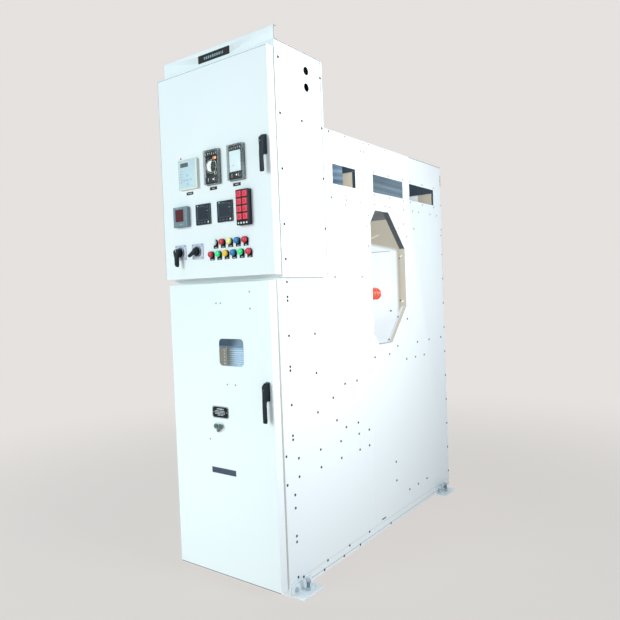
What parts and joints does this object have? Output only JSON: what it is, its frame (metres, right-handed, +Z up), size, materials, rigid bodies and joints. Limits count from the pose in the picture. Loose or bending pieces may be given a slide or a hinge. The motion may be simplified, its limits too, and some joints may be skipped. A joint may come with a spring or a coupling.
{
  "type": "vacuum circuit breaker switchgear",
  "caption": "Metal-clad vacuum circuit breaker cubicle: instrument door over breaker door, withdrawable breaker truck, side openings for busbars and gas duct, roof relief flaps.",
  "frame": {"origin": "centre of the four foot anchor holes, at floor level", "axes": "+X to the right seen from the doors, +Y from the doors towards the rear covers, +Z up"},
  "size_m": [0.79, 1.8604, 2.506],
  "materials": {
    "white_paint": "satin",
    "galvanised": "matte",
    "zinc": "satin",
    "copper": "satin",
    "epoxy": "gloss",
    "black_plastic": "satin",
    "pale_plastic": "satin",
    "rubber": "matte",
    "clear_plastic": "gloss",
    "ceramic": "gloss",
    "lock_metal": "satin",
    "rod_glassfibre": "satin",
    "lamp_plastic": "gloss",
    "button_green": "gloss",
    "white_plastic": "satin"
  },
  "bodies": {
    "cubicle": {"base_frame": "white_paint", "foot_brackets": "white_paint", "foot_bolts": "zinc", "door_frame": "white_paint", "side_sheets_front": "white_paint", "side_sheets_rear": "white_paint", "busbar_opening_collars": "galvanised", "roof_sheet": "white_paint", "rear_covers": "white_paint", "body_screws": "zinc", "compartment_sheets": "galvanised", "lv_chamber": "white_paint", "lv_upstand": "white_paint", "lv_mounting_plate": "galvanised", "din_rail_devices": "pale_plastic", "spouts": "epoxy", "fixed_contacts": "copper", "branch_bars": "copper", "post_insulators": "epoxy", "current_transformers": "epoxy", "cable_bars": "copper", "gland_plate": "galvanised", "earth_bar": "copper", "breaker_rails": "galvanised", "shutters": "galvanised"},
    "relief_flap_front": {"relief_flap_front": "white_paint"},
    "relief_flap_middle": {"relief_flap_middle": "white_paint"},
    "relief_flap_rear": {"relief_flap_rear": "white_paint"},
    "lv_door": {"lv_door": "white_paint", "lv_door_seal": "rubber", "numerical_relay": "pale_plastic", "flush_relays": "black_plastic", "relay_covers": "clear_plastic", "panel_meters": "black_plastic", "annunciator": "black_plastic", "rotary_switches": "black_plastic", "indicator_lamps": "lamp_plastic", "label_plates": "black_plastic"},
    "lv_handle": {"lv_handle": "black_plastic"},
    "control_grip": {"control_grip": "black_plastic"},
    "selector_knob": {"selector_knob": "black_plastic"},
    "annunciator_button_1": {"annunciator_button_1": "white_plastic"},
    "annunciator_button_2": {"annunciator_button_2": "white_plastic"},
    "annunciator_button_3": {"annunciator_button_3": "white_plastic"},
    "annunciator_button_4": {"annunciator_button_4": "white_plastic"},
    "breaker_door": {"breaker_door": "white_paint", "breaker_door_seal": "rubber", "window_pane": "clear_plastic"},
    "breaker_handle": {"breaker_handle": "black_plastic"},
    "wing_lock": {"wing_lock": "lock_metal"},
    "truck": {"truck_chassis": "galvanised", "mechanism_box": "galvanised", "mechanism_cover": "galvanised", "pole_housings": "epoxy", "vacuum_interrupters": "ceramic", "contact_arms": "copper"},
    "push_rods": {"push_rods": "rod_glassfibre"},
    "front_wheels": {"front_wheels": "zinc"},
    "rear_wheels": {"rear_wheels": "zinc"},
    "close_button": {"close_button": "button_green"}
  },
  "joints": [
    {"name": "lv_door_hinge", "type": "hinge", "parent": "cubicle", "child": "lv_door", "pos_m": [-0.345, -0.857, 1.923], "axis": [0, 0, -1], "range_deg": [0, 120]},
    {"name": "breaker_door_hinge", "type": "hinge", "parent": "cubicle", "child": "breaker_door", "pos_m": [-0.315, -0.861, 0.724], "axis": [0, 0, -1], "range_deg": [0, 120]},
    {"name": "lv_handle_turn", "type": "hinge", "parent": "lv_door", "child": "lv_handle", "pos_m": [0.322, -0.897, 2], "axis": [0, 1, 0], "range_deg": [0, 90]},
    {"name": "breaker_handle_turn", "type": "hinge", "parent": "breaker_door", "child": "breaker_handle", "pos_m": [0.29, -0.904, 0.936], "axis": [0, 1, 0], "range_deg": [0, 90]},
    {"name": "control_grip_turn", "type": "hinge", "parent": "lv_door", "child": "control_grip", "pos_m": [-0.233, -0.897, 1.566], "axis": [0, 1, 0], "range_deg": [-45, 45], "stiffness_Nm_per_rad": 0.5},
    {"name": "selector_knob_turn", "type": "hinge", "parent": "lv_door", "child": "selector_knob", "pos_m": [-0.116, -0.897, 1.564], "axis": [0, 1, 0], "range_deg": [0, 90]},
    {"name": "annunciator_button_1_push", "type": "slide", "parent": "lv_door", "child": "annunciator_button_1", "axis": [0, 1, 0], "range_m": [0, 0.0015], "stiffness_N_per_m": 400},
    {"name": "annunciator_button_2_push", "type": "slide", "parent": "lv_door", "child": "annunciator_button_2", "axis": [0, 1, 0], "range_m": [0, 0.0015], "stiffness_N_per_m": 400},
    {"name": "annunciator_button_3_push", "type": "slide", "parent": "lv_door", "child": "annunciator_button_3", "axis": [0, 1, 0], "range_m": [0, 0.0015], "stiffness_N_per_m": 400},
    {"name": "annunciator_button_4_push", "type": "slide", "parent": "lv_door", "child": "annunciator_button_4", "axis": [0, 1, 0], "range_m": [0, 0.0015], "stiffness_N_per_m": 400},
    {"name": "wing_lock_turn", "type": "hinge", "parent": "breaker_door", "child": "wing_lock", "pos_m": [-0.015, -0.904, 0.74], "axis": [0, 1, 0], "range_deg": [0, 90]},
    {"name": "relief_flap_front_hinge", "type": "hinge", "parent": "cubicle", "child": "relief_flap_front", "pos_m": [0, -0.121, 2.155], "axis": [-1, 0, 0], "range_deg": [0, 100]},
    {"name": "relief_flap_middle_hinge", "type": "hinge", "parent": "cubicle", "child": "relief_flap_middle", "pos_m": [0, 0.359, 2.155], "axis": [-1, 0, 0], "range_deg": [0, 100]},
    {"name": "relief_flap_rear_hinge", "type": "hinge", "parent": "cubicle", "child": "relief_flap_rear", "pos_m": [0, 0.869, 2.155], "axis": [-1, 0, 0], "range_deg": [0, 100]},
    {"name": "truck_racking", "type": "slide", "parent": "cubicle", "child": "truck", "axis": [0, -1, 0], "range_m": [0, 0.2]},
    {"name": "contact_drive", "type": "slide", "parent": "truck", "child": "push_rods", "axis": [0, 0, 1], "range_m": [0, 0.009]},
    {"name": "front_wheels_roll", "type": "hinge", "parent": "truck", "child": "front_wheels", "pos_m": [0, -0.577, 0.074], "axis": [1, 0, 0], "range_deg": [0, 365]},
    {"name": "rear_wheels_roll", "type": "hinge", "parent": "truck", "child": "rear_wheels", "pos_m": [0, -0.332, 0.074], "axis": [1, 0, 0], "range_deg": [0, 365]},
    {"name": "close_button_push", "type": "slide", "parent": "truck", "child": "close_button", "axis": [0, 1, 0], "range_m": [0, 0.005], "stiffness_N_per_m": 600}
  ],
  "couplings": [
    {"joint": "front_wheels_roll", "follows": "truck_racking", "rad_per_m": 31.447},
    {"joint": "rear_wheels_roll", "follows": "truck_racking", "rad_per_m": 31.447}
  ]
}
